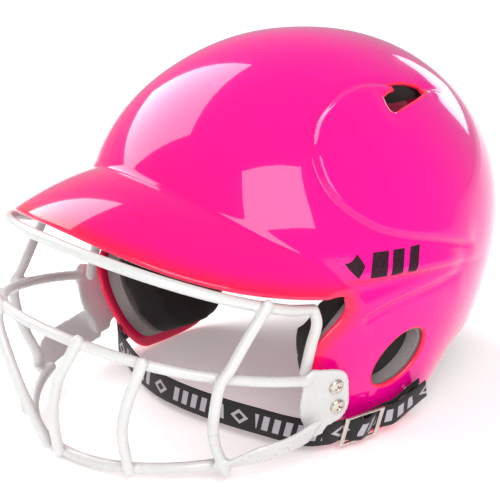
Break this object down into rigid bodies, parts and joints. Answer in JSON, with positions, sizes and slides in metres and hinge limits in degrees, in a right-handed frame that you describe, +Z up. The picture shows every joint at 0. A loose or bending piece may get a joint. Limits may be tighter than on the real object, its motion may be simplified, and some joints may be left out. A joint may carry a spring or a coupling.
{
  "type": "batting helmet",
  "caption": "Bill-brimmed hard-shell batting helmet with ear flaps, a bolted coated-wire face guard, foam lining pads and a chin strap that swings on side snaps.",
  "frame": {"origin": "middle of the bounding box's footprint, on the plane the ear flaps and guard stand on", "axes": "-Y towards the wearer's face, +X to the wearer's left, +Z up"},
  "size_m": [0.2201, 0.3219, 0.2069],
  "materials": {
    "shell": "gloss",
    "guard": "vinyl-dipped, semi-gloss",
    "foam_base": "matt closed-cell foam",
    "foam_soft": "matt foam with brushed fabric face",
    "webbing": "woven",
    "metal": "nickel plated"
  },
  "bodies": {
    "helmet": {"shell": "shell", "guard_top_wire": "guard", "guard_middle_wire": "guard", "guard_bottom_wire": "guard", "guard_outer_upright_left": "guard", "guard_middle_upright_left": "guard", "guard_centre_upright_left": "guard", "guard_plate_left": "guard", "guard_arm_left": "guard", "guard_screw_left_upper": "metal", "guard_nut_left_upper": "metal", "guard_screw_left_lower": "metal", "guard_nut_left_lower": "metal", "ear_pad_base_left": "foam_base", "ear_pad_left": "foam_soft", "side_pad_left": "foam_soft", "strap_stud_left": "metal", "guard_outer_upright_right": "guard", "guard_middle_upright_right": "guard", "guard_centre_upright_right": "guard", "guard_plate_right": "guard", "guard_arm_right": "guard", "guard_screw_right_upper": "metal", "guard_nut_right_upper": "metal", "guard_screw_right_lower": "metal", "guard_nut_right_lower": "metal", "ear_pad_base_right": "foam_base", "ear_pad_right": "foam_soft", "side_pad_right": "foam_soft", "strap_stud_right": "metal", "front_pad_base": "foam_base", "front_pad": "foam_soft", "rear_pad_base": "foam_base", "rear_pad": "foam_soft", "crown_pad": "foam_soft"},
    "strap": {"chin_strap": "webbing", "strap_anchor": "webbing", "strap_slider": "metal", "strap_snap_left": "metal", "strap_snap_right": "metal"}
  },
  "joints": [
    {"name": "chin_strap_swing", "type": "hinge", "parent": "helmet", "child": "strap", "pos_m": [0, 0.0175, 0.0235], "axis": [1, 0, 0], "range_deg": [0, 30]}
  ]
}
